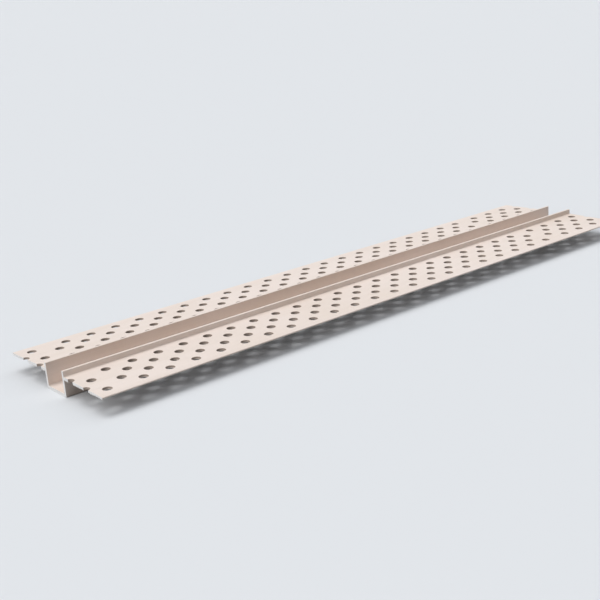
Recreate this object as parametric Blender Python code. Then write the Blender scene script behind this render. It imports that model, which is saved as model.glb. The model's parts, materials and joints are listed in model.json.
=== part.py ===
"""Perforated PVC reveal bead, a short length of stock.

One extrusion: a square U-channel that forms the shadow gap, with a perforated wing on
each side. The channel's two walls stand a little proud of the wings, as the stops that
the plaster or the board's edge finishes against. Each wing is flat underneath and thins
towards its free edge, so that the plaster feathers out over it. The wings are punched in
strokes of many columns, so the spacing opens a little between one stroke and the next,
and the saw has gone through some of the holes at both ends.

Frame: metres, +X along the length, +Y across the bead, +Z up. The origin is under the
middle of the channel's floor, on the surface that the bead lies on.
"""
import math

import bmesh
import bpy
from mathutils import Matrix, Vector

# Length of the piece and the section that the die makes
LENGTH = 0.260
OVERALL_HEIGHT = 0.0090
GROOVE_WIDTH = 0.0110
WALL_THICKNESS = 0.0010
FLOOR_THICKNESS = 0.0010
WING_ROOT_THICKNESS = 0.0010
WING_EDGE_THICKNESS = 0.0006
WING_WIDTH = 0.0245
STOP_HEIGHT = 0.0020

# Small rounds that the die leaves on the section, an edge's at most a share of its wall
EDGE_ROUND = 0.00025
MOST_ROUND = 0.45
ROOT_FILLET = 0.00030
ROUND_STEPS = 2

# Holes in the wings: rows run along the bead, and every other row is staggered
HOLE_DIAMETER = 0.0032
HOLE_PITCH = 0.0100
ROW_SPACING = 0.0050
FIRST_ROW_FROM_WALL = 0.0043
LEAST_EDGE_LAND = 0.0030

# The punch makes a block of columns at each stroke, and the feed adds a little between blocks
COLUMNS_PER_STROKE = 21
STROKE_GAP = 0.0030
FIRST_COLUMN_FROM_END = 0.0178
LEAST_BITE = 0.0003

HOLE_SIDES = 12
PUNCH_OVERSHOOT = 0.0010
WHOLE_ROW_SLACK = 0.001
MERGE_DISTANCE = 0.0000005

# Levels and widths that follow from the driving sizes
WING_TOP = OVERALL_HEIGHT - STOP_HEIGHT
WING_BOTTOM = WING_TOP - WING_ROOT_THICKNESS
WING_EDGE_TOP = WING_BOTTOM + WING_EDGE_THICKNESS
HALF_GROOVE = GROOVE_WIDTH / 2
HALF_CHANNEL = HALF_GROOVE + WALL_THICKNESS
HALF_WIDTH = HALF_CHANNEL + WING_WIDTH

CREAM_PVC = (0.87, 0.77, 0.71, 1.0)


def clear_scene():
    for old in list(bpy.data.objects):
        bpy.data.objects.remove(old, do_unlink=True)


def new_collection(name):
    collection = bpy.data.collections.new(name)
    bpy.context.scene.collection.children.link(collection)
    return collection


def pvc_material():
    """Cream rigid PVC with a satin skin from the die."""
    material = bpy.data.materials.new("cream_rigid_pvc")
    material.use_nodes = True
    shader = material.node_tree.nodes["Principled BSDF"]
    shader.inputs["Base Color"].default_value = CREAM_PVC
    shader.inputs["Roughness"].default_value = 0.42
    shader.inputs["Metallic"].default_value = 0.0
    shader.inputs["IOR"].default_value = 1.54
    return material


def rounded_corner(before, corner, after, radius):
    """Points of the arc that rounds one corner of the outline."""
    to_before = (before - corner).normalized()
    to_after = (after - corner).normalized()
    half_angle = to_before.angle(to_after) / 2
    setback = radius / math.tan(half_angle)
    start = corner + to_before * setback
    end = corner + to_after * setback
    centre = corner + (to_before + to_after).normalized() * (radius / math.sin(half_angle))
    points = []
    for step in range(ROUND_STEPS + 1):
        chord_point = start.lerp(end, step / ROUND_STEPS)
        points.append(centre + (chord_point - centre).normalized() * radius)
    return points


def section_outline():
    """Closed outline of the section, as (across, up) points, anticlockwise from below."""
    edge_round = min(EDGE_ROUND, MOST_ROUND * WALL_THICKNESS, MOST_ROUND * WING_EDGE_THICKNESS)
    half = [
        (HALF_CHANNEL, 0.0, edge_round),
        (HALF_CHANNEL, WING_BOTTOM, ROOT_FILLET),
        (HALF_WIDTH, WING_BOTTOM, edge_round),
        (HALF_WIDTH, WING_EDGE_TOP, edge_round),
        (HALF_CHANNEL, WING_TOP, ROOT_FILLET),
        (HALF_CHANNEL, OVERALL_HEIGHT, edge_round),
        (HALF_GROOVE, OVERALL_HEIGHT, edge_round),
        (HALF_GROOVE, FLOOR_THICKNESS, ROOT_FILLET),
    ]
    corners = half + [(-across, up, radius) for across, up, radius in reversed(half)]
    outline = []
    for index, (across, up, radius) in enumerate(corners):
        before = Vector(corners[index - 1][:2])
        after = Vector(corners[(index + 1) % len(corners)][:2])
        outline.extend(rounded_corner(before, Vector((across, up)), after, radius))
    return outline


def extrude_section(name, collection):
    """Solid bead before punching: the outline as a filled curve, extruded along +X."""
    outline = section_outline()
    curve = bpy.data.curves.new("bead_section", "CURVE")
    curve.dimensions = "2D"
    curve.fill_mode = "BOTH"
    curve.extrude = LENGTH / 2
    spline = curve.splines.new("POLY")
    spline.points.add(len(outline) - 1)
    for point, (across, up) in zip(spline.points, outline):
        point.co = (across, up, 0.0, 1.0)
    spline.use_cyclic_u = True
    guide = bpy.data.objects.new("bead_section_guide", curve)
    guide.matrix_world = Matrix(((0, 0, 1, 0), (1, 0, 0, 0), (0, 1, 0, 0), (0, 0, 0, 1)))
    collection.objects.link(guide)
    bpy.context.view_layer.update()

    evaluated = guide.evaluated_get(bpy.context.evaluated_depsgraph_get())
    mesh = bpy.data.meshes.new_from_object(evaluated)
    mesh.name = name
    bead = bpy.data.objects.new(name, mesh)
    bead.matrix_world = guide.matrix_world
    collection.objects.link(bead)
    bpy.data.objects.remove(guide, do_unlink=True)
    bpy.data.curves.remove(curve)
    weld_caps(mesh)
    return bead


def weld_caps(mesh):
    """Join the extrusion's loose end caps to its walls and face everything outwards."""
    work = bmesh.new()
    work.from_mesh(mesh)
    bmesh.ops.remove_doubles(work, verts=work.verts, dist=MERGE_DISTANCE)
    bmesh.ops.recalc_face_normals(work, faces=work.faces)
    work.to_mesh(mesh)
    work.free()


def row_positions():
    """Distances of the hole rows from the wall, as many as the wing has room for."""
    room = WING_WIDTH - LEAST_EDGE_LAND - HOLE_DIAMETER / 2 - FIRST_ROW_FROM_WALL
    count = max(0, math.floor(room / ROW_SPACING + WHOLE_ROW_SLACK) + 1)
    return [FIRST_ROW_FROM_WALL + row * ROW_SPACING for row in range(count)]


def column_positions(stagger):
    """Places along the bead, from its left end, of the holes in one row."""
    advance = COLUMNS_PER_STROKE * HOLE_PITCH + STROKE_GAP
    reach = HOLE_DIAMETER / 2 - LEAST_BITE
    first_stroke = math.floor(-FIRST_COLUMN_FROM_END / advance)
    last_stroke = math.ceil((LENGTH - FIRST_COLUMN_FROM_END + HOLE_PITCH) / advance)
    places = []
    for stroke in range(first_stroke, last_stroke + 1):
        for column in range(COLUMNS_PER_STROKE):
            place = FIRST_COLUMN_FROM_END + stroke * advance + column * HOLE_PITCH - stagger
            if -reach < place < LENGTH + reach:
                places.append(place)
    return places


def punch_centres():
    """Centre of every hole, on both wings, as (along, across)."""
    centres = []
    for row, from_wall in enumerate(row_positions()):
        staggered = row % 2 == 0
        for place in column_positions(HOLE_PITCH / 2 if staggered else 0.0):
            for side in (-1, 1):
                centres.append((place - LENGTH / 2, side * (HALF_CHANNEL + from_wall)))
    return centres


def make_punches(collection):
    """One cutter holding a pin for every hole."""
    wing_crest = max(WING_TOP, WING_EDGE_TOP)
    pin_height = wing_crest - WING_BOTTOM + 2 * PUNCH_OVERSHOOT
    middle = (wing_crest + WING_BOTTOM) / 2
    work = bmesh.new()
    for along, across in punch_centres():
        bmesh.ops.create_cone(
            work,
            cap_ends=True,
            segments=HOLE_SIDES,
            radius1=HOLE_DIAMETER / 2,
            radius2=HOLE_DIAMETER / 2,
            depth=pin_height,
            matrix=Matrix.Translation((along, across, middle)),
        )
    mesh = bpy.data.meshes.new("wing_punches")
    work.to_mesh(mesh)
    work.free()
    punches = bpy.data.objects.new("wing_punches", mesh)
    punches.hide_render = True
    punches.display_type = "WIRE"
    collection.objects.link(punches)
    return punches


def punch_wings(bead, punches):
    cut = bead.modifiers.new("punched_holes", "BOOLEAN")
    cut.operation = "DIFFERENCE"
    cut.solver = "EXACT"
    cut.object = punches


def main():
    clear_scene()
    stock = new_collection("pvc_reveal_bead")
    cutters = new_collection("punch_cutters")
    bead = extrude_section("reveal_bead", stock)
    bead.data.materials.append(pvc_material())
    punch_wings(bead, make_punches(cutters))


main()
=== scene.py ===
"""Looks of a perforated PVC reveal bead: a short sawn length of cream extrusion lying on a pale floor.

The frame gives the bead's place and overall sizes. This script grows the finished bead from one
section and one punch, and gives it the satin skin that the die leaves, sheared hole walls and
sawn ends. It adds what punch and saw leave behind: a torn lip below each hole, a fringe below
the sawn wings, and crumbs.
"""

import json
import math

import bpy
from mathutils import Euler, Matrix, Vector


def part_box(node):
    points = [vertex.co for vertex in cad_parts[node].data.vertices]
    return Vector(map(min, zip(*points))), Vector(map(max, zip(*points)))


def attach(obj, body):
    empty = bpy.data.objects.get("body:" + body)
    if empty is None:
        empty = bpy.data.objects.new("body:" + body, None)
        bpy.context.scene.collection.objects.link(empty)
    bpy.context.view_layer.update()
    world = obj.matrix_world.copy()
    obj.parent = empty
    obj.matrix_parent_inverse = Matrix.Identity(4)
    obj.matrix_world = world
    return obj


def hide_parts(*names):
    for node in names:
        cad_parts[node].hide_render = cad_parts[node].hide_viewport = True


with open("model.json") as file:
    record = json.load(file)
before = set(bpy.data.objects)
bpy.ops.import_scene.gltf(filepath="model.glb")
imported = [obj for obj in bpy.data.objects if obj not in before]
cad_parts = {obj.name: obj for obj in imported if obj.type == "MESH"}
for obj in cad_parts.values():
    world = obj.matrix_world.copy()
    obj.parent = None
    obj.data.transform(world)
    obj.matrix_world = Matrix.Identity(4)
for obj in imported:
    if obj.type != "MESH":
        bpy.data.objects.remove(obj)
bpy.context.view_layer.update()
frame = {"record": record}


def mount_place(name):
    """Place of one of the record's mounts, in metres."""
    mounts = frame["record"]["mounts"]
    return next(mount["pos_m"] for mount in mounts if mount["name"] == name)


# Sizes that the frame gives. Lengths are in metres, unless a name ends in MM
bead_low, bead_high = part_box("reveal_bead")
LENGTH = bead_high.x - bead_low.x
OVERALL_HEIGHT = bead_high.z
HALF_WIDTH = bead_high.y
FLOOR_THICKNESS = mount_place("groove_floor")[2]
WING_BOTTOM = mount_place("back_wing_underside")[2]
HALF_CHANNEL = mount_place("back_board_stop")[1]

# Other sizes of the section, the turn from which an edge stays crisp, and how squarely an end faces
WALL_THICKNESS = 0.0010
WING_ROOT_THICKNESS = 0.0010
WING_EDGE_THICKNESS = 0.0006
EDGE_ROUND = 0.00022
WING_EDGE_ROUND = 0.00028
ROOT_FILLET = 0.00030
ROUND_STEPS = 5
CRISP_TURN = math.radians(40)
SQUARE_ON = 0.999
WING_TOP = WING_BOTTOM + WING_ROOT_THICKNESS
WING_EDGE_TOP = WING_BOTTOM + WING_EDGE_THICKNESS
HALF_GROOVE = HALF_CHANNEL - WALL_THICKNESS
WING_FALL = math.atan2(WING_TOP - WING_EDGE_TOP, HALF_WIDTH - HALF_CHANNEL)

# The punched holes, in strokes of 21 columns with a slightly longer feed between strokes
HOLE_RADIUS = 0.00157
HOLE_PITCH = 0.0100
ROW_SPACING = 0.0050
FIRST_ROW_FROM_WALL = 0.0043
HOLE_ROWS = 4
HOLE_COLUMNS = 27
COLUMNS_BEFORE_FIRST = 2
COLUMNS_PER_STROKE = 21
STROKE_GAP = 0.0030
FIRST_COLUMN_FROM_END = 0.0178
LEAST_BITE = 0.0003
HOLE_PATTERN = {
    "Length": LENGTH, "Half Channel": HALF_CHANNEL, "Wing Top": WING_TOP, "Wing Fall": WING_FALL,
    "Rows": HOLE_ROWS, "Columns": HOLE_COLUMNS, "Columns Before First": COLUMNS_BEFORE_FIRST,
    "Columns Per Stroke": COLUMNS_PER_STROKE, "Pitch": HOLE_PITCH, "Row Spacing": ROW_SPACING,
    "First Row": FIRST_ROW_FROM_WALL, "First Column": FIRST_COLUMN_FROM_END, "Stroke Gap": STROKE_GAP,
    "Hole Radius": HOLE_RADIUS,
}

# A pin of the punch: the rim that it rolls, and how far it runs past both faces of the wing
HOLE_SIDES = 24
RIM_ROUND = 0.00012
RIM_RINGS = 4
RIM_TURN = math.radians(30)
HOLE_BREAKOUT = 0.00002
PIN_DEPTH = 0.0022
PIN_OVERSHOOT = 0.0002

# The lip that the punch tears out below each hole: shares are of its width, height and depth
BURR_WIDTH = 0.00018
BURR_HEIGHT = 0.00022
BURR_ROOT = 0.00004
BURR_SIDES = 16
SHOULDER_WIDTH_SHARE = 0.35
SHOULDER_HEIGHT_SHARE = 0.8
MOST_TORN_SHARE = 0.6
BURR_TEAR_MM = 1.1

# The fringe that the saw leaves along edges within LEVEL_SLACK of the wings' underside. Its
# shares are of its depth, thickness and length
FRINGE_STEP = 0.00016
FRINGE_INSET = 0.00005
FRINGE_DEPTH = 0.00035
FRINGE_THICKNESS = 0.00008
FRINGE_ROOT_SHARE = 0.15
FRINGE_TIP_SHARE = 0.3
SHORTEST_SHRED_SHARE = 0.12
SHRED_MM = 0.45
LEVEL_SLACK = 0.00003

# The crumbs that the saw leaves near both ends, each stretched by a share drawn for every axis.
# STEEPEST_HOLD is how far down a face may look and still hold one, CRUMB_ROOM is in crumb sizes
SWARF_REACH = 0.022
SWARF_DENSITY = 110000.0
SWARF_SEED = 7
STEEPEST_HOLD = -0.2
CLEAR_OF_FLOOR = 0.0005
CRUMB_SIZE = 0.00018
CRUMB_ROOM = 2.0
LEAST_STRETCH = (0.3, 0.3, 0.2)
MOST_STRETCH = (1.1, 0.8, 0.7)
CRUMB_LUMP_MM = 0.12

# Colours of the plastic, as sRGB hex codes, and how it bends and scatters light
DEEP_CREAM = "#E2D1C4"
PALE_CREAM = "#EADBD2"
# Hole walls: a darker cream, painted shade for the hollow of each hole
HOLE_SHADE_CREAM = "#A8978B"
DULL_SAWN = "#E5E2E0"
PALE_SAWN = "#F2F0EE"
DULL_TORN = "#E1D6CC"
PALE_TORN = "#F2EEEA"
RIGID_PVC_IOR = 1.54
SMOOTHEST_SKIN = 0.36
ROUGHEST_SKIN = 0.50
SHEARED_ROUGHNESS = 0.62
SAWN_ROUGHNESS = 0.8
SMOOTHEST_TEAR = 0.6
ROUGHEST_TEAR = 0.85

# Relief of the skin, the sawn ends and torn plastic
DIE_LINE_DEPTH = 0.00004
GRAIN_DEPTH = 0.00001
SCORE_DEPTH = 0.00006
TEAR_DEPTH = 0.00003

# Floor, as it shows and as it throws light back, and the surround
FLOOR_HALF_SIZE = 20.0
FLOOR_CLEARANCE = 0.00005
FLOOR_SHOWN = "#DDDEE0"
FLOOR_CARRIED = "#AEB0B2"
FLOOR_UNDER_BEAD = "#303132"
SURROUND_LOW = 0.032
SURROUND_TOP = 0.64
SURROUND_GATHER = 2.0
SURROUND_SHOWN = 0.822
SURROUND_LIGHT_TINT = "#EEF7FF"
SURROUND_SHOWN_TINT = "#F7FBFF"

# Lamps: each has its tip along the bead and its width in degrees, and the level that it adds
SOFTBOX = (("left", -33.0, 48.0, 0.26), ("middle", -2.0, 30.0, 0.26), ("right", 33.0, 48.0, 0.075))
SOFTBOX_TIP_ACROSS = -12.0
FILLS = (("left", -66.0, 30.0, 0.14), ("right", 66.0, 30.0, 0.032))
FILL_TIP_ACROSS = 8.0

# Camera at the photograph's place: metres, then degrees, then millimetres
CAMERA_PLACE = (-0.26646, -0.30293, 0.12496)
CAMERA_HEADING = -38.32
CAMERA_DIP = 17.30
CAMERA_ROLL = -4.68
CAMERA_LENS = 63.94
CAMERA_SENSOR = 36.0
NEAREST_SEEN = 0.01
FARTHEST_SEEN = 60.0


def linear(hex_colour):
    """Linear colour, with alpha, of an sRGB hex code."""
    values = [int(hex_colour[start:start + 2], 16) / 255 for start in (1, 3, 5)]
    curve = [value / 12.92 if value <= 0.04045 else ((value + 0.055) / 1.055) ** 2.4 for value in values]
    return (*curve, 1.0)


def per_mm(size):
    """Texture scale, per metre, of a pattern this many millimetres across."""
    return 1000.0 / size


def add(tree, kind, inputs=None, **settings):
    """Add a node with its settings, and fill its inputs with values, nodes or sockets."""
    node = tree.nodes.new(kind)
    for name, value in settings.items():
        setattr(node, name, value)
    for name, value in (inputs or {}).items():
        if isinstance(value, bpy.types.Node):
            value = value.outputs[0]
        if isinstance(value, bpy.types.NodeSocket):
            tree.links.new(value, node.inputs[name])
        else:
            node.inputs[name].default_value = value
    return node


def new_tree(name, sizes):
    """Empty geometry tree with one named input for each size, and the sockets that give them."""
    tree = bpy.data.node_groups.new(name, "GeometryNodeTree")
    tree.interface.new_socket("Geometry", in_out="INPUT", socket_type="NodeSocketGeometry")
    tree.interface.new_socket("Geometry", in_out="OUTPUT", socket_type="NodeSocketGeometry")
    for label, size in sizes.items():
        kind = "NodeSocketInt" if isinstance(size, int) else "NodeSocketFloat"
        tree.interface.new_socket(label, in_out="INPUT", socket_type=kind)
    group = add(tree, "NodeGroupInput")
    return tree, {socket.name: socket for socket in group.outputs}


def close_tree(tree, geometry, material):
    """End a geometry tree: one material on all of it, and every instance made real."""
    painted = add(tree, "GeometryNodeSetMaterial", {"Geometry": geometry, "Material": material})
    real = add(tree, "GeometryNodeRealizeInstances", {"Geometry": painted})
    add(tree, "NodeGroupOutput", {0: real})


def grow(piece, tree, sizes):
    """Run a geometry tree on a piece with its sizes set, and leave the result as a plain mesh."""
    modifier = piece.modifiers.new(tree.name, "NODES")
    modifier.node_group = tree
    for item in tree.interface.items_tree:
        if item.name in sizes:
            modifier[item.identifier] = sizes[item.name]
    weighted = piece.modifiers.new("flat_faces_lead", "WEIGHTED_NORMAL")
    weighted.keep_sharp = True
    bpy.context.view_layer.update()
    evaluated = piece.evaluated_get(bpy.context.evaluated_depsgraph_get())
    mesh = bpy.data.meshes.new_from_object(evaluated)
    mesh.name = piece.name
    piece.modifiers.clear()
    piece.data = mesh
    return piece


def blank_piece(name, mesh=None):
    """Object at the origin that a geometry tree fills."""
    piece = bpy.data.objects.new(name, mesh or bpy.data.meshes.new(name))
    bpy.context.scene.collection.objects.link(piece)
    return piece


def section_corners():
    """Corners of the section as (across, up, radius), anticlockwise from below the back wall."""
    half = [
        (HALF_CHANNEL, 0.0, EDGE_ROUND),
        (HALF_CHANNEL, WING_BOTTOM, ROOT_FILLET),
        (HALF_WIDTH, WING_BOTTOM, WING_EDGE_ROUND),
        (HALF_WIDTH, WING_EDGE_TOP, WING_EDGE_ROUND),
        (HALF_CHANNEL, WING_TOP, ROOT_FILLET),
        (HALF_CHANNEL, OVERALL_HEIGHT, EDGE_ROUND),
        (HALF_GROOVE, OVERALL_HEIGHT, EDGE_ROUND),
        (HALF_GROOVE, FLOOR_THICKNESS, ROOT_FILLET),
    ]
    return half + [(-across, up, radius) for across, up, radius in reversed(half)]


def section_piece(name):
    """The section as a closed loop of edges, each corner carrying the radius that rounds it."""
    corners = section_corners()
    mesh = bpy.data.meshes.new(name)
    loop = [(index, (index + 1) % len(corners)) for index in range(len(corners))]
    mesh.from_pydata([(across, up, 0.0) for across, up, _ in corners], loop, [])
    radii = mesh.attributes.new("corner_round", "FLOAT", "POINT")
    radii.data.foreach_set("value", [radius for _, _, radius in corners])
    return blank_piece(name, mesh)


def swept_section(tree, given):
    """Nodes that round the section's corners and sweep it along the bead, ends filled."""
    outline = add(tree, "GeometryNodeMeshToCurve", {"Mesh": given["Geometry"]})
    radius = add(tree, "GeometryNodeInputNamedAttribute", {"Name": "corner_round"}, data_type="FLOAT")
    rounded = add(tree, "GeometryNodeFilletCurve", {
        "Curve": outline, "Count": given["Round Steps"], "Radius": radius}, mode="POLY")
    upright = add(tree, "GeometryNodeTransform", {
        "Geometry": rounded, "Rotation": Euler((0.0, 0.0, math.pi))})
    half = add(tree, "ShaderNodeMath", {0: given["Length"], 1: 0.5}, operation="MULTIPLY")
    right = add(tree, "ShaderNodeCombineXYZ", {"X": half})
    left = add(tree, "ShaderNodeVectorMath", {"Vector": right, "Scale": -1.0}, operation="SCALE")
    line = add(tree, "GeometryNodeCurvePrimitiveLine", {"Start": left, "End": right})
    return add(tree, "GeometryNodeCurveToMesh", {
        "Curve": line, "Profile Curve": upright, "Fill Caps": True})


def hole_places(tree, given):
    """Nodes that put a point at each hole of both wings, from its number alone.

    Holes are counted along a file, which runs across one wing, then from wing to wing, and then
    from column to column. Those past the bead's ends by more than the bite's reach are dropped.
    """
    number = add(tree, "GeometryNodeInputIndex")
    row = add(tree, "ShaderNodeMath", {0: number, 1: given["Rows"]}, operation="MODULO")
    files = add(tree, "ShaderNodeMath", {0: number, 1: given["Rows"]}, operation="DIVIDE")
    file_number = add(tree, "ShaderNodeMath", {0: files}, operation="FLOOR")

    wing = add(tree, "ShaderNodeMath", {0: file_number, 1: 2.0}, operation="MODULO")
    side = add(tree, "ShaderNodeMath", {0: wing, 1: 2.0, 2: -1.0}, operation="MULTIPLY_ADD")
    from_wall = add(tree, "ShaderNodeMath", {
        0: row, 1: given["Row Spacing"], 2: given["First Row"]}, operation="MULTIPLY_ADD")
    from_middle = add(tree, "ShaderNodeMath", {0: from_wall, 1: given["Half Channel"]}, operation="ADD")
    across = add(tree, "ShaderNodeMath", {0: from_middle, 1: side}, operation="MULTIPLY")

    pairs = add(tree, "ShaderNodeMath", {0: file_number, 1: 2.0}, operation="DIVIDE")
    whole_pairs = add(tree, "ShaderNodeMath", {0: pairs}, operation="FLOOR")
    column = add(tree, "ShaderNodeMath", {
        0: whole_pairs, 1: given["Columns Before First"]}, operation="SUBTRACT")
    strokes = add(tree, "ShaderNodeMath", {0: column, 1: given["Columns Per Stroke"]}, operation="DIVIDE")
    stroke = add(tree, "ShaderNodeMath", {0: strokes}, operation="FLOOR")
    odd_row = add(tree, "ShaderNodeMath", {0: row, 1: 2.0}, operation="MODULO")
    staggered = add(tree, "ShaderNodeMath", {0: odd_row, 1: 0.5}, operation="LESS_THAN")
    shifted = add(tree, "ShaderNodeMath", {0: staggered, 1: -0.5, 2: column}, operation="MULTIPLY_ADD")
    pitched = add(tree, "ShaderNodeMath", {
        0: shifted, 1: given["Pitch"], 2: given["First Column"]}, operation="MULTIPLY_ADD")
    from_end = add(tree, "ShaderNodeMath", {
        0: stroke, 1: given["Stroke Gap"], 2: pitched}, operation="MULTIPLY_ADD")
    along = add(tree, "ShaderNodeMath", {
        0: given["Length"], 1: -0.5, 2: from_end}, operation="MULTIPLY_ADD")

    slope = add(tree, "ShaderNodeMath", {0: given["Wing Fall"]}, operation="TANGENT")
    drop = add(tree, "ShaderNodeMath", {0: from_wall, 1: slope}, operation="MULTIPLY")
    up = add(tree, "ShaderNodeMath", {0: given["Wing Top"], 1: drop}, operation="SUBTRACT")

    on_one_wing = add(tree, "ShaderNodeMath", {0: given["Rows"], 1: given["Columns"]}, operation="MULTIPLY")
    count = add(tree, "ShaderNodeMath", {0: on_one_wing, 1: 2.0}, operation="MULTIPLY")
    place = add(tree, "ShaderNodeCombineXYZ", {"X": along, "Y": across, "Z": up})
    points = add(tree, "GeometryNodePoints", {"Count": count, "Position": place})
    off_middle = add(tree, "ShaderNodeMath", {0: along}, operation="ABSOLUTE")
    reach = add(tree, "ShaderNodeMath", {
        0: given["Length"], 1: 0.5, 2: given["Bite Reach"]}, operation="MULTIPLY_ADD")
    missed = add(tree, "FunctionNodeCompare", {0: off_middle, 1: reach}, operation="GREATER_THAN")
    return add(tree, "GeometryNodeDeleteGeometry", {"Geometry": points, "Selection": missed})


def punch_pin(tree, given):
    """Nodes for one pin of the punch, set with the wing's top at nought.

    A cylinder of radius 1 is reshaped ring by ring: the lowest opens a little where the pin
    breaks out, the next ones roll the rim outwards turn by turn, and the last runs on straight.
    """
    pin = add(tree, "GeometryNodeMeshCylinder", {
        "Vertices": given["Hole Sides"], "Side Segments": RIM_RINGS, "Radius": 1.0, "Depth": 1.0})
    spot = add(tree, "ShaderNodeSeparateXYZ", {0: add(tree, "GeometryNodeInputPosition")})
    share = add(tree, "ShaderNodeMath", {0: spot.outputs["Z"], 1: 0.5}, operation="ADD")
    rings = add(tree, "ShaderNodeMath", {0: share, 1: float(RIM_RINGS)}, operation="MULTIPLY")
    ring = add(tree, "ShaderNodeMath", {0: rings}, operation="ROUND")
    first = add(tree, "ShaderNodeMath", {0: ring, 1: 0.5}, operation="LESS_THAN")
    last = add(tree, "ShaderNodeMath", {0: ring, 1: RIM_RINGS - 0.5}, operation="GREATER_THAN")
    above_first = add(tree, "ShaderNodeMath", {0: ring, 1: 1.0}, operation="SUBTRACT")
    turns = add(tree, "ShaderNodeClamp", {
        "Value": above_first, "Min": 0.0, "Max": float(RIM_RINGS - 2)})
    angle = add(tree, "ShaderNodeMath", {0: turns, 1: RIM_TURN}, operation="MULTIPLY")
    cosine = add(tree, "ShaderNodeMath", {0: angle}, operation="COSINE")
    sine = add(tree, "ShaderNodeMath", {0: angle}, operation="SINE")
    run_out = add(tree, "ShaderNodeMath", {0: last, 1: given["Pin Overshoot"]}, operation="MULTIPLY")

    out_share = add(tree, "ShaderNodeMath", {0: 1.0, 1: cosine}, operation="SUBTRACT")
    rolled = add(tree, "ShaderNodeMath", {
        0: out_share, 1: given["Rim Round"], 2: given["Hole Radius"]}, operation="MULTIPLY_ADD")
    flared = add(tree, "ShaderNodeMath", {0: run_out, 1: sine, 2: rolled}, operation="MULTIPLY_ADD")
    radius = add(tree, "ShaderNodeMath", {
        0: first, 1: given["Breakout"], 2: flared}, operation="MULTIPLY_ADD")

    up_share = add(tree, "ShaderNodeMath", {0: sine, 1: 1.0}, operation="SUBTRACT")
    arc = add(tree, "ShaderNodeMath", {0: up_share, 1: given["Rim Round"]}, operation="MULTIPLY")
    raised = add(tree, "ShaderNodeMath", {0: run_out, 1: cosine, 2: arc}, operation="MULTIPLY_ADD")
    sunk = add(tree, "ShaderNodeMath", {0: first, 1: given["Pin Depth"]}, operation="MULTIPLY")
    height = add(tree, "ShaderNodeMath", {0: raised, 1: sunk}, operation="SUBTRACT")

    along = add(tree, "ShaderNodeMath", {0: spot.outputs["X"], 1: radius}, operation="MULTIPLY")
    across = add(tree, "ShaderNodeMath", {0: spot.outputs["Y"], 1: radius}, operation="MULTIPLY")
    place = add(tree, "ShaderNodeCombineXYZ", {"X": along, "Y": across, "Z": height})
    shaped = add(tree, "GeometryNodeSetPosition", {"Geometry": pin, "Position": place})
    return add(tree, "GeometryNodeStoreNamedAttribute", {
        "Geometry": shaped, "Name": "punched_wall", "Value": 1.0}, data_type="FLOAT", domain="FACE")


def punches(tree, given):
    """Nodes that set a pin on every hole's place, square to the wing's sloping top."""
    spot = add(tree, "ShaderNodeSeparateXYZ", {0: add(tree, "GeometryNodeInputPosition")})
    side = add(tree, "ShaderNodeMath", {0: spot.outputs["Y"]}, operation="SIGN")
    fall = add(tree, "ShaderNodeMath", {0: side, 1: given["Wing Fall"]}, operation="MULTIPLY")
    tilt = add(tree, "ShaderNodeMath", {0: fall, 1: -1.0}, operation="MULTIPLY")
    turn = add(tree, "FunctionNodeEulerToRotation", {0: add(tree, "ShaderNodeCombineXYZ", {"X": tilt})})
    pins = add(tree, "GeometryNodeInstanceOnPoints", {
        "Points": hole_places(tree, given), "Instance": punch_pin(tree, given), "Rotation": turn})
    return add(tree, "GeometryNodeRealizeInstances", {"Geometry": pins})


def punched_bead(material):
    """The whole bead: section swept to length, holes punched, crisp edges and sawn ends marked."""
    sizes = {
        **HOLE_PATTERN, "Bite Reach": HOLE_RADIUS - LEAST_BITE,
        "Round Steps": ROUND_STEPS, "Hole Sides": HOLE_SIDES, "Rim Round": RIM_ROUND,
        "Breakout": HOLE_BREAKOUT, "Pin Depth": PIN_DEPTH, "Pin Overshoot": PIN_OVERSHOOT,
    }
    tree, given = new_tree("punched_bead", sizes)
    punched = add(tree, "GeometryNodeMeshBoolean", {
        "Mesh 1": swept_section(tree, given), "Mesh 2": punches(tree, given)},
        operation="DIFFERENCE", solver="EXACT")
    smooth = add(tree, "GeometryNodeSetShadeSmooth", {"Geometry": punched})
    turn = add(tree, "GeometryNodeInputMeshEdgeAngle")
    crisp = add(tree, "FunctionNodeCompare", {0: turn, 1: CRISP_TURN}, operation="GREATER_THAN")
    creased = add(tree, "GeometryNodeSetShadeSmooth", {
        "Geometry": smooth, "Selection": crisp, "Shade Smooth": False}, domain="EDGE")
    facing = add(tree, "ShaderNodeSeparateXYZ", {0: add(tree, "GeometryNodeInputNormal")})
    endwise = add(tree, "ShaderNodeMath", {0: facing.outputs["X"]}, operation="ABSOLUTE")
    sawn = add(tree, "ShaderNodeMath", {0: endwise, 1: SQUARE_ON}, operation="GREATER_THAN")
    marked = add(tree, "GeometryNodeStoreNamedAttribute", {
        "Geometry": creased, "Name": "sawn_end", "Value": sawn}, data_type="FLOAT", domain="FACE")
    close_tree(tree, marked, material)
    return grow(section_piece("punched_reveal_bead"), tree, sizes)


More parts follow.
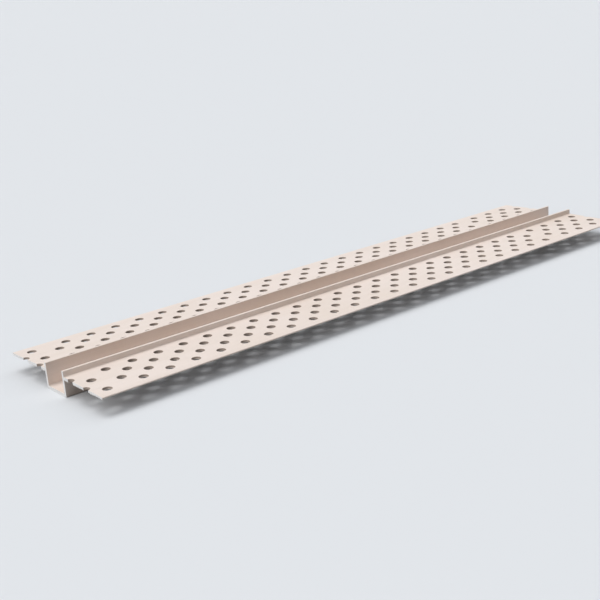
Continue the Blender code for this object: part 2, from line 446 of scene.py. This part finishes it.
def hole_burrs(material):
    """Low torn lip that the punch pushes out below each whole hole."""
    sizes = {
        **HOLE_PATTERN, "Bite Reach": -(HOLE_RADIUS + BURR_WIDTH), "Wing Bottom": WING_BOTTOM,
        "Burr Width": BURR_WIDTH, "Burr Height": BURR_HEIGHT, "Burr Root": BURR_ROOT,
        "Burr Sides": BURR_SIDES,
    }
    tree, given = new_tree("hole_burrs", sizes)
    spot = add(tree, "ShaderNodeSeparateXYZ", {0: add(tree, "GeometryNodeInputPosition")})
    underside = add(tree, "ShaderNodeCombineXYZ", {
        "X": spot.outputs["X"], "Y": spot.outputs["Y"], "Z": given["Wing Bottom"]})
    below = add(tree, "GeometryNodeSetPosition", {
        "Geometry": hole_places(tree, given), "Position": underside})

    rim = add(tree, "GeometryNodeCurvePrimitiveCircle", {
        "Resolution": given["Burr Sides"], "Radius": given["Hole Radius"]})
    root = add(tree, "ShaderNodeMath", {0: given["Burr Root"], 1: -1.0}, operation="MULTIPLY")
    shoulder_out = add(tree, "ShaderNodeMath", {
        0: given["Burr Width"], 1: SHOULDER_WIDTH_SHARE}, operation="MULTIPLY")
    shoulder_down = add(tree, "ShaderNodeMath", {
        0: given["Burr Height"], 1: SHOULDER_HEIGHT_SHARE}, operation="MULTIPLY")
    lip = add(tree, "GeometryNodeCurvePrimitiveQuadrilateral", {
        "Point 1": add(tree, "ShaderNodeCombineXYZ", {"X": given["Burr Width"], "Y": root}),
        "Point 2": add(tree, "ShaderNodeCombineXYZ", {"X": shoulder_out, "Y": shoulder_down}),
        "Point 3": add(tree, "ShaderNodeCombineXYZ", {"Y": given["Burr Height"]}),
        "Point 4": add(tree, "ShaderNodeCombineXYZ", {"Y": root}),
    }, mode="POINTS")
    ring = add(tree, "GeometryNodeCurveToMesh", {"Curve": rim, "Profile Curve": lip})
    rings = add(tree, "GeometryNodeInstanceOnPoints", {"Points": below, "Instance": ring})
    real = add(tree, "GeometryNodeRealizeInstances", {"Geometry": rings})

    # The lower a point hangs, the more of it is torn away. Noise stays near a half, so its
    # middle is stretched over the whole range, here and wherever it is mapped
    level = add(tree, "ShaderNodeSeparateXYZ", {0: add(tree, "GeometryNodeInputPosition")})
    hang = add(tree, "ShaderNodeMath", {
        0: given["Wing Bottom"], 1: level.outputs["Z"]}, operation="SUBTRACT")
    depth = add(tree, "ShaderNodeMath", {0: hang, 1: 0.0}, operation="MAXIMUM")
    tears = add(tree, "ShaderNodeTexNoise", {"Scale": per_mm(BURR_TEAR_MM), "Detail": 1.0})
    torn_share = add(tree, "ShaderNodeMapRange", {
        "Value": tears, "From Min": 0.35, "From Max": 0.65, "To Min": 0.0, "To Max": MOST_TORN_SHARE})
    lift = add(tree, "ShaderNodeMath", {0: depth, 1: torn_share}, operation="MULTIPLY")
    ragged = add(tree, "GeometryNodeSetPosition", {
        "Geometry": real, "Offset": add(tree, "ShaderNodeCombineXYZ", {"Z": lift})})
    close_tree(tree, ragged, material)
    return grow(blank_piece("punched_hole_burrs"), tree, sizes)


def saw_fringe(bead, material):
    """Ragged fringe that the blade tears out below the sawn ends of the wings."""
    sizes = {
        "Wing Bottom": WING_BOTTOM, "Fringe Step": FRINGE_STEP, "Fringe Inset": FRINGE_INSET,
        "Fringe Depth": FRINGE_DEPTH, "Fringe Thickness": FRINGE_THICKNESS,
    }
    tree, given = new_tree("saw_fringe", sizes)

    # An edge between a sawn face and another reads as half sawn
    spot = add(tree, "ShaderNodeSeparateXYZ", {0: add(tree, "GeometryNodeInputPosition")})
    sawn = add(tree, "GeometryNodeInputNamedAttribute", {"Name": "sawn_end"}, data_type="FLOAT")
    corner = add(tree, "ShaderNodeMath", {0: sawn, 1: 0.5, 2: 0.2}, operation="COMPARE")
    low = add(tree, "ShaderNodeMath", {
        0: spot.outputs["Z"], 1: given["Wing Bottom"], 2: LEVEL_SLACK}, operation="COMPARE")
    edge = add(tree, "ShaderNodeMath", {0: corner, 1: low}, operation="MULTIPLY")
    line = add(tree, "GeometryNodeMeshToCurve", {"Mesh": given["Geometry"], "Selection": edge})
    fine = add(tree, "GeometryNodeResampleCurve", {
        "Curve": line, "Length": given["Fringe Step"]}, mode="LENGTH")
    end = add(tree, "ShaderNodeMath", {0: spot.outputs["X"]}, operation="SIGN")
    outward = add(tree, "ShaderNodeMath", {0: end, 1: given["Fringe Inset"]}, operation="MULTIPLY")
    inward = add(tree, "ShaderNodeMath", {0: outward, 1: -1.0}, operation="MULTIPLY")
    inset = add(tree, "GeometryNodeSetPosition", {
        "Geometry": fine, "Offset": add(tree, "ShaderNodeCombineXYZ", {"X": inward})})
    level = add(tree, "GeometryNodeSetCurveNormal", {"Curve": inset}, mode="Z_UP")

    half = add(tree, "ShaderNodeMath", {0: given["Fringe Thickness"], 1: 0.5}, operation="MULTIPLY")
    other = add(tree, "ShaderNodeMath", {0: half, 1: -1.0}, operation="MULTIPLY")
    root = add(tree, "ShaderNodeMath", {
        0: given["Fringe Depth"], 1: -FRINGE_ROOT_SHARE}, operation="MULTIPLY")
    tip = add(tree, "ShaderNodeMath", {0: half, 1: FRINGE_TIP_SHARE}, operation="MULTIPLY")
    other_tip = add(tree, "ShaderNodeMath", {0: other, 1: FRINGE_TIP_SHARE}, operation="MULTIPLY")
    shred = add(tree, "GeometryNodeCurvePrimitiveQuadrilateral", {
        "Point 1": add(tree, "ShaderNodeCombineXYZ", {"X": half, "Y": root}),
        "Point 2": add(tree, "ShaderNodeCombineXYZ", {"X": tip, "Y": given["Fringe Depth"]}),
        "Point 3": add(tree, "ShaderNodeCombineXYZ", {"X": other_tip, "Y": given["Fringe Depth"]}),
        "Point 4": add(tree, "ShaderNodeCombineXYZ", {"X": other, "Y": root}),
    }, mode="POINTS")
    tears = add(tree, "ShaderNodeTexNoise", {
        "Scale": per_mm(SHRED_MM), "Detail": 3.0, "Roughness": 0.8})
    length = add(tree, "ShaderNodeMapRange", {
        "Value": tears, "From Min": 0.42, "From Max": 0.68, "To Min": SHORTEST_SHRED_SHARE, "To Max": 1.0})
    fringe = add(tree, "GeometryNodeCurveToMesh", {
        "Curve": level, "Profile Curve": shred, "Scale": length, "Fill Caps": True})
    close_tree(tree, fringe, material)
    return grow(blank_piece("saw_fringe", bead.data.copy()), tree, sizes)


def saw_swarf(bead, material):
    """Crumbs of PVC that the saw leaves near both ends, kept inside the bead's overall box."""
    sizes = {
        "Length": LENGTH, "Half Width": HALF_WIDTH, "Overall Height": OVERALL_HEIGHT,
        "Swarf Reach": SWARF_REACH, "Swarf Density": SWARF_DENSITY, "Crumb Size": CRUMB_SIZE,
        "Swarf Seed": SWARF_SEED,
    }
    tree, given = new_tree("saw_swarf", sizes)

    # Crumbs lie on skin that faces up or is steep, clear of the floor, and not in holes
    spot = add(tree, "ShaderNodeSeparateXYZ", {0: add(tree, "GeometryNodeInputPosition")})
    facing = add(tree, "ShaderNodeSeparateXYZ", {0: add(tree, "GeometryNodeInputNormal")})
    holding = add(tree, "ShaderNodeMath", {
        0: facing.outputs["Z"], 1: STEEPEST_HOLD}, operation="GREATER_THAN")
    clear = add(tree, "ShaderNodeMath", {
        0: spot.outputs["Z"], 1: CLEAR_OF_FLOOR}, operation="GREATER_THAN")
    open_skin = add(tree, "ShaderNodeMath", {0: holding, 1: clear}, operation="MULTIPLY")
    for mark in ("sawn_end", "punched_wall"):
        marked = add(tree, "GeometryNodeInputNamedAttribute", {"Name": mark}, data_type="FLOAT")
        unmarked = add(tree, "ShaderNodeMath", {0: marked, 1: 0.5}, operation="LESS_THAN")
        open_skin = add(tree, "ShaderNodeMath", {0: open_skin, 1: unmarked}, operation="MULTIPLY")
    scattered = add(tree, "GeometryNodeDistributePointsOnFaces", {
        "Mesh": given["Geometry"], "Selection": open_skin, "Density": given["Swarf Density"],
        "Seed": given["Swarf Seed"]})

    # They thin out away from the sawn ends, and each has room inside the overall box
    half = add(tree, "ShaderNodeMath", {0: given["Length"], 1: 0.5}, operation="MULTIPLY")
    off_middle = add(tree, "ShaderNodeMath", {0: spot.outputs["X"]}, operation="ABSOLUTE")
    from_end = add(tree, "ShaderNodeMath", {0: half, 1: off_middle}, operation="SUBTRACT")
    off_axis = add(tree, "ShaderNodeMath", {0: spot.outputs["Y"]}, operation="ABSOLUTE")
    from_side = add(tree, "ShaderNodeMath", {0: given["Half Width"], 1: off_axis}, operation="SUBTRACT")
    from_top = add(tree, "ShaderNodeMath", {
        0: given["Overall Height"], 1: spot.outputs["Z"]}, operation="SUBTRACT")
    least = add(tree, "ShaderNodeMath", {0: from_end, 1: from_side}, operation="MINIMUM")
    margin = add(tree, "ShaderNodeMath", {0: least, 1: from_top}, operation="MINIMUM")
    room = add(tree, "ShaderNodeMath", {0: given["Crumb Size"], 1: CRUMB_ROOM}, operation="MULTIPLY")
    inside = add(tree, "ShaderNodeMath", {0: margin, 1: room}, operation="GREATER_THAN")
    draw = add(tree, "FunctionNodeRandomValue", {"Seed": given["Swarf Seed"]})
    chance = add(tree, "ShaderNodeMath", {0: draw.outputs[1], 1: inside}, operation="MULTIPLY")
    distance = add(tree, "ShaderNodeMath", {0: from_end, 1: given["Swarf Reach"]}, operation="DIVIDE")
    thinning = add(tree, "ShaderNodeMath", {0: distance}, operation="SQRT")
    gone = add(tree, "ShaderNodeMath", {0: thinning, 1: chance}, operation="GREATER_THAN")
    loose = add(tree, "GeometryNodeDeleteGeometry", {"Geometry": scattered, "Selection": gone})

    stretch = add(tree, "FunctionNodeRandomValue", {
        0: LEAST_STRETCH, 1: MOST_STRETCH, "Seed": given["Swarf Seed"]}, data_type="FLOAT_VECTOR")
    scale = add(tree, "ShaderNodeVectorMath", {
        "Vector": stretch, "Scale": given["Crumb Size"]}, operation="SCALE")
    crumbs = add(tree, "GeometryNodeInstanceOnPoints", {
        "Points": loose, "Instance": add(tree, "GeometryNodeMeshIcoSphere", {
            "Radius": 1.0, "Subdivisions": 1}),
        "Rotation": scattered.outputs["Rotation"], "Scale": scale})
    real = add(tree, "GeometryNodeRealizeInstances", {"Geometry": crumbs})
    lumps = add(tree, "ShaderNodeTexNoise", {"Scale": per_mm(CRUMB_LUMP_MM), "Detail": 0.0})
    in_or_out = add(tree, "ShaderNodeMath", {0: lumps, 1: 0.5}, operation="SUBTRACT")
    swell = add(tree, "ShaderNodeMath", {0: in_or_out, 1: given["Crumb Size"]}, operation="MULTIPLY")
    offset = add(tree, "ShaderNodeVectorMath", {
        "Vector": add(tree, "GeometryNodeInputNormal"), "Scale": swell}, operation="SCALE")
    lumpy = add(tree, "GeometryNodeSetPosition", {"Geometry": real, "Offset": offset})
    close_tree(tree, lumpy, material)
    return grow(blank_piece("saw_swarf", bead.data.copy()), tree, sizes)


def new_material(name):
    """Material with its node tree and shader."""
    material = bpy.data.materials.new(name)
    material.use_nodes = True
    return material, material.node_tree, material.node_tree.nodes["Principled BSDF"]


def satin_extruded_pvc():
    """Rigid PVC, extruded: a cream satin skin with faint lines that the die draws along the bead.

    Its punched hole walls are sheared, so they are duller; their darker colour is painted shade,
    as they sit in the hollow of each hole. Its sawn ends are scored by the blade, so they look
    paler and dry.
    """
    material, tree, shader = new_material("satin_extruded_rigid_pvc")
    place = add(tree, "ShaderNodeTexCoord").outputs["Object"]
    sheared_and_shaded_wall = add(tree, "ShaderNodeAttribute", attribute_name="punched_wall").outputs["Fac"]
    sawn = add(tree, "ShaderNodeAttribute", attribute_name="sawn_end").outputs["Fac"]

    # Die lines: real ones lie 0.1 to 0.3 mm apart, too fine to show, so they are drawn 0.9 mm apart
    lines = add(tree, "ShaderNodeTexNoise", {
        "Vector": add(tree, "ShaderNodeMapping", {
            "Vector": place, "Scale": (per_mm(250.0), per_mm(0.9), per_mm(0.9))}),
        "Scale": 1.0, "Detail": 3.0, "Roughness": 0.7})
    # Bands where the skin cooled a little slower: 5 mm wide, and seven to the metre along the bead
    bands = add(tree, "ShaderNodeTexNoise", {
        "Vector": add(tree, "ShaderNodeMapping", {"Vector": place, "Scale": (7.0, per_mm(5.0), per_mm(5.0))}),
        "Scale": 1.0, "Detail": 1.0})
    # Clouds of slightly paler and yellower compound, about 25 mm across
    clouds = add(tree, "ShaderNodeTexNoise", {"Vector": place, "Scale": per_mm(25.0), "Detail": 2.0})
    # Saw scores: teeth leave lines about 0.3 mm apart, drawn 0.5 mm apart and 4 mm long
    scores = add(tree, "ShaderNodeTexNoise", {
        "Vector": add(tree, "ShaderNodeMapping", {
            "Vector": place, "Scale": (0.0, per_mm(4.0), per_mm(0.5))}),
        "Scale": 1.0, "Detail": 2.0, "Distortion": 0.4})
    # Skin grain like fine orange peel: 0.1 mm in truth, drawn 0.3 mm across
    grain = add(tree, "ShaderNodeTexNoise", {"Vector": place, "Scale": per_mm(0.3), "Detail": 1.0})

    streaks = add(tree, "ShaderNodeMix", {0: 0.5, 2: bands, 3: lines})
    tone = add(tree, "ShaderNodeMix", {0: 0.35, 2: streaks, 3: clouds})
    shift = add(tree, "ShaderNodeMapRange", {"Value": tone, "From Min": 0.36, "From Max": 0.64})
    skin = add(tree, "ShaderNodeMix", {
        0: shift, 6: linear(DEEP_CREAM), 7: linear(PALE_CREAM)}, data_type="RGBA")
    # Hole walls take the darker cream: painted shade, as each sits in its own hollow
    skin_and_painted_hole_shade = add(tree, "ShaderNodeMix", {
        0: sheared_and_shaded_wall, 6: skin.outputs[2], 7: linear(HOLE_SHADE_CREAM)}, data_type="RGBA")
    dry = add(tree, "ShaderNodeMix", {
        0: scores, 6: linear(DULL_SAWN), 7: linear(PALE_SAWN)}, data_type="RGBA")
    colour = add(tree, "ShaderNodeMix", {0: sawn, 6: skin_and_painted_hole_shade.outputs[2], 7: dry.outputs[2]}, data_type="RGBA")
    tree.links.new(colour.outputs[2], shader.inputs["Base Color"])

    satin = add(tree, "ShaderNodeMapRange", {
        "Value": streaks, "From Min": 0.35, "From Max": 0.65,
        "To Min": SMOOTHEST_SKIN, "To Max": ROUGHEST_SKIN})
    torn = add(tree, "ShaderNodeMix", {0: sheared_and_shaded_wall, 2: satin, 3: SHEARED_ROUGHNESS})
    gloss = add(tree, "ShaderNodeMix", {0: sawn, 2: torn, 3: SAWN_ROUGHNESS})
    tree.links.new(gloss.outputs[0], shader.inputs["Roughness"])
    shader.inputs["IOR"].default_value = RIGID_PVC_IOR

    drawn = add(tree, "ShaderNodeBump", {"Height": lines, "Strength": 0.6, "Distance": DIE_LINE_DEPTH})
    peel = add(tree, "ShaderNodeBump", {
        "Height": grain, "Strength": 0.4, "Distance": GRAIN_DEPTH, "Normal": drawn})
    scored = add(tree, "ShaderNodeBump", {
        "Height": scores, "Strength": sawn, "Distance": SCORE_DEPTH, "Normal": peel})
    tree.links.new(scored.outputs[0], shader.inputs["Normal"])
    return material


def torn_pvc():
    """Rigid PVC torn off by the blade: the same cream, stretched paler, with a dull uneven face."""
    material, tree, shader = new_material("torn_rigid_pvc")
    place = add(tree, "ShaderNodeTexCoord").outputs["Object"]
    # Stretch whitening comes and goes about every half millimetre
    stretch = add(tree, "ShaderNodeTexNoise", {"Vector": place, "Scale": per_mm(0.5), "Detail": 2.0})
    colour = add(tree, "ShaderNodeMix", {
        0: stretch, 6: linear(DULL_TORN), 7: linear(PALE_TORN)}, data_type="RGBA")
    tree.links.new(colour.outputs[2], shader.inputs["Base Color"])
    dull = add(tree, "ShaderNodeMapRange", {
        "Value": stretch, "To Min": SMOOTHEST_TEAR, "To Max": ROUGHEST_TEAR})
    tree.links.new(dull.outputs[0], shader.inputs["Roughness"])
    shader.inputs["IOR"].default_value = RIGID_PVC_IOR
    rough = add(tree, "ShaderNodeBump", {"Height": stretch, "Strength": 0.4, "Distance": TEAR_DEPTH})
    tree.links.new(rough.outputs[0], shader.inputs["Normal"])
    return material


def rays_that_look(tree):
    """One for camera, glossy and transmission rays, nought for the rays that only carry light."""
    path = add(tree, "ShaderNodeLightPath")
    seen = add(tree, "ShaderNodeMath", {
        0: path.outputs["Is Camera Ray"], 1: path.outputs["Is Glossy Ray"]}, operation="MAXIMUM")
    return add(tree, "ShaderNodeMath", {
        0: seen, 1: path.outputs["Is Transmission Ray"]}, operation="MAXIMUM")


def pale_card():
    """Matt pale card for the floor. It throws little light back, least of all under the bead."""
    material, tree, shader = new_material("matt_pale_card")
    spot = add(tree, "ShaderNodeSeparateXYZ", {0: add(tree, "ShaderNodeTexCoord").outputs["Object"]})
    off_middle = add(tree, "ShaderNodeMath", {0: spot.outputs["X"]}, operation="ABSOLUTE")
    off_axis = add(tree, "ShaderNodeMath", {0: spot.outputs["Y"]}, operation="ABSOLUTE")
    in_length = add(tree, "ShaderNodeMath", {0: off_middle, 1: LENGTH / 2}, operation="LESS_THAN")
    in_width = add(tree, "ShaderNodeMath", {0: off_axis, 1: HALF_WIDTH}, operation="LESS_THAN")
    covered = add(tree, "ShaderNodeMath", {0: in_length, 1: in_width}, operation="MULTIPLY")
    carried = add(tree, "ShaderNodeMix", {
        0: covered, 6: linear(FLOOR_CARRIED), 7: linear(FLOOR_UNDER_BEAD)}, data_type="RGBA")
    shown = add(tree, "ShaderNodeMix", {
        0: rays_that_look(tree), 6: carried.outputs[2], 7: linear(FLOOR_SHOWN)}, data_type="RGBA")
    tree.links.new(shown.outputs[2], shader.inputs["Base Color"])
    shader.inputs["Roughness"].default_value = 0.9
    shader.inputs["Specular IOR Level"].default_value = 0.1
    return material


def lay_floor():
    """Plain pale floor just below the bead, wide enough to fill every view."""
    reach = FLOOR_HALF_SIZE
    corners = [(-reach, -reach, 0.0), (reach, -reach, 0.0), (reach, reach, 0.0), (-reach, reach, 0.0)]
    mesh = bpy.data.meshes.new("floor")
    mesh.from_pydata(corners, [], [(0, 1, 2, 3)])
    mesh.materials.append(pale_card())
    floor = bpy.data.objects.new("floor", mesh)
    floor.location.z = -FLOOR_CLEARANCE
    bpy.context.scene.collection.objects.link(floor)


def soft_sun(name, tip_across, tip_along, width, level):
    """Soft distant lamp, tipped from overhead, that alone lights a level surface to this level."""
    lamp = bpy.data.lights.new(name, "SUN")
    lamp.angle = math.radians(width)
    holder = bpy.data.objects.new(name, lamp)
    holder.rotation_euler = Euler((math.radians(tip_across), math.radians(tip_along), 0.0))
    upright = holder.rotation_euler.to_matrix()[2][2]
    lamp.energy = level * math.pi / upright
    bpy.context.scene.collection.objects.link(holder)
    return holder


def light_studio():
    """A long softbox overhead, as three soft suns in a row, and a low fill at each end.

    The middle sun is tighter than its neighbours, so that every hole passes a faint oval of light
    into the shade under the wing. It and the low fills make no sheen, so that the wings stay below
    white when they are seen from above or along the bead.
    """
    for name, tip_along, width, level in SOFTBOX:
        part = soft_sun("softbox_" + name, SOFTBOX_TIP_ACROSS, tip_along, width, level)
        part.visible_glossy = name != "middle"
    for name, tip_along, width, level in FILLS:
        fill = soft_sun("fill_" + name, FILL_TIP_ACROSS, tip_along, width, level)
        fill.visible_glossy = False


def hang_surround():
    """Dim surround that is brightest overhead, and that shows as pale as the floor."""
    world = bpy.data.worlds.new("pale_surround")
    world.use_nodes = True
    tree = world.node_tree
    background = tree.nodes["Background"]
    looking = rays_that_look(tree)
    colour = add(tree, "ShaderNodeMix", {
        0: looking, 6: linear(SURROUND_LIGHT_TINT), 7: linear(SURROUND_SHOWN_TINT)}, data_type="RGBA")
    tree.links.new(colour.outputs[2], background.inputs["Color"])
    towards = add(tree, "ShaderNodeSeparateXYZ", {0: add(tree, "ShaderNodeTexCoord").outputs["Generated"]})
    above = add(tree, "ShaderNodeMath", {0: towards.outputs["Z"], 1: 0.0}, operation="MAXIMUM")
    height = add(tree, "ShaderNodeMath", {0: above, 1: SURROUND_GATHER}, operation="POWER")
    light = add(tree, "ShaderNodeMapRange", {
        "Value": height, "To Min": SURROUND_LOW, "To Max": SURROUND_TOP})
    strength = add(tree, "ShaderNodeMix", {0: looking, 2: light, 3: SURROUND_SHOWN})
    tree.links.new(strength.outputs[0], background.inputs["Strength"])
    bpy.context.scene.world = world


def aim_camera():
    """Camera at the photograph's place: left, in front and low, turned a little about its axis."""
    camera = bpy.data.cameras.new("camera")
    camera.lens = CAMERA_LENS
    camera.sensor_width = CAMERA_SENSOR
    camera.clip_start = NEAREST_SEEN
    camera.clip_end = FARTHEST_SEEN
    viewer = bpy.data.objects.new("camera", camera)
    turn = Euler((math.radians(90 - CAMERA_DIP), 0.0, math.radians(CAMERA_HEADING))).to_matrix()
    roll = Matrix.Rotation(math.radians(CAMERA_ROLL), 3, "Z")
    viewer.rotation_euler = (turn @ roll).to_euler()
    viewer.location = CAMERA_PLACE
    bpy.context.scene.collection.objects.link(viewer)
    bpy.context.scene.camera = viewer


skin = satin_extruded_pvc()
bead = punched_bead(skin)
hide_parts("reveal_bead")
dust = torn_pvc()
for piece in (bead, hole_burrs(skin), saw_fringe(bead, dust), saw_swarf(bead, dust)):
    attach(piece, "root")

lay_floor()
light_studio()
hang_surround()
aim_camera()
bpy.context.scene.view_settings.view_transform = "Standard"
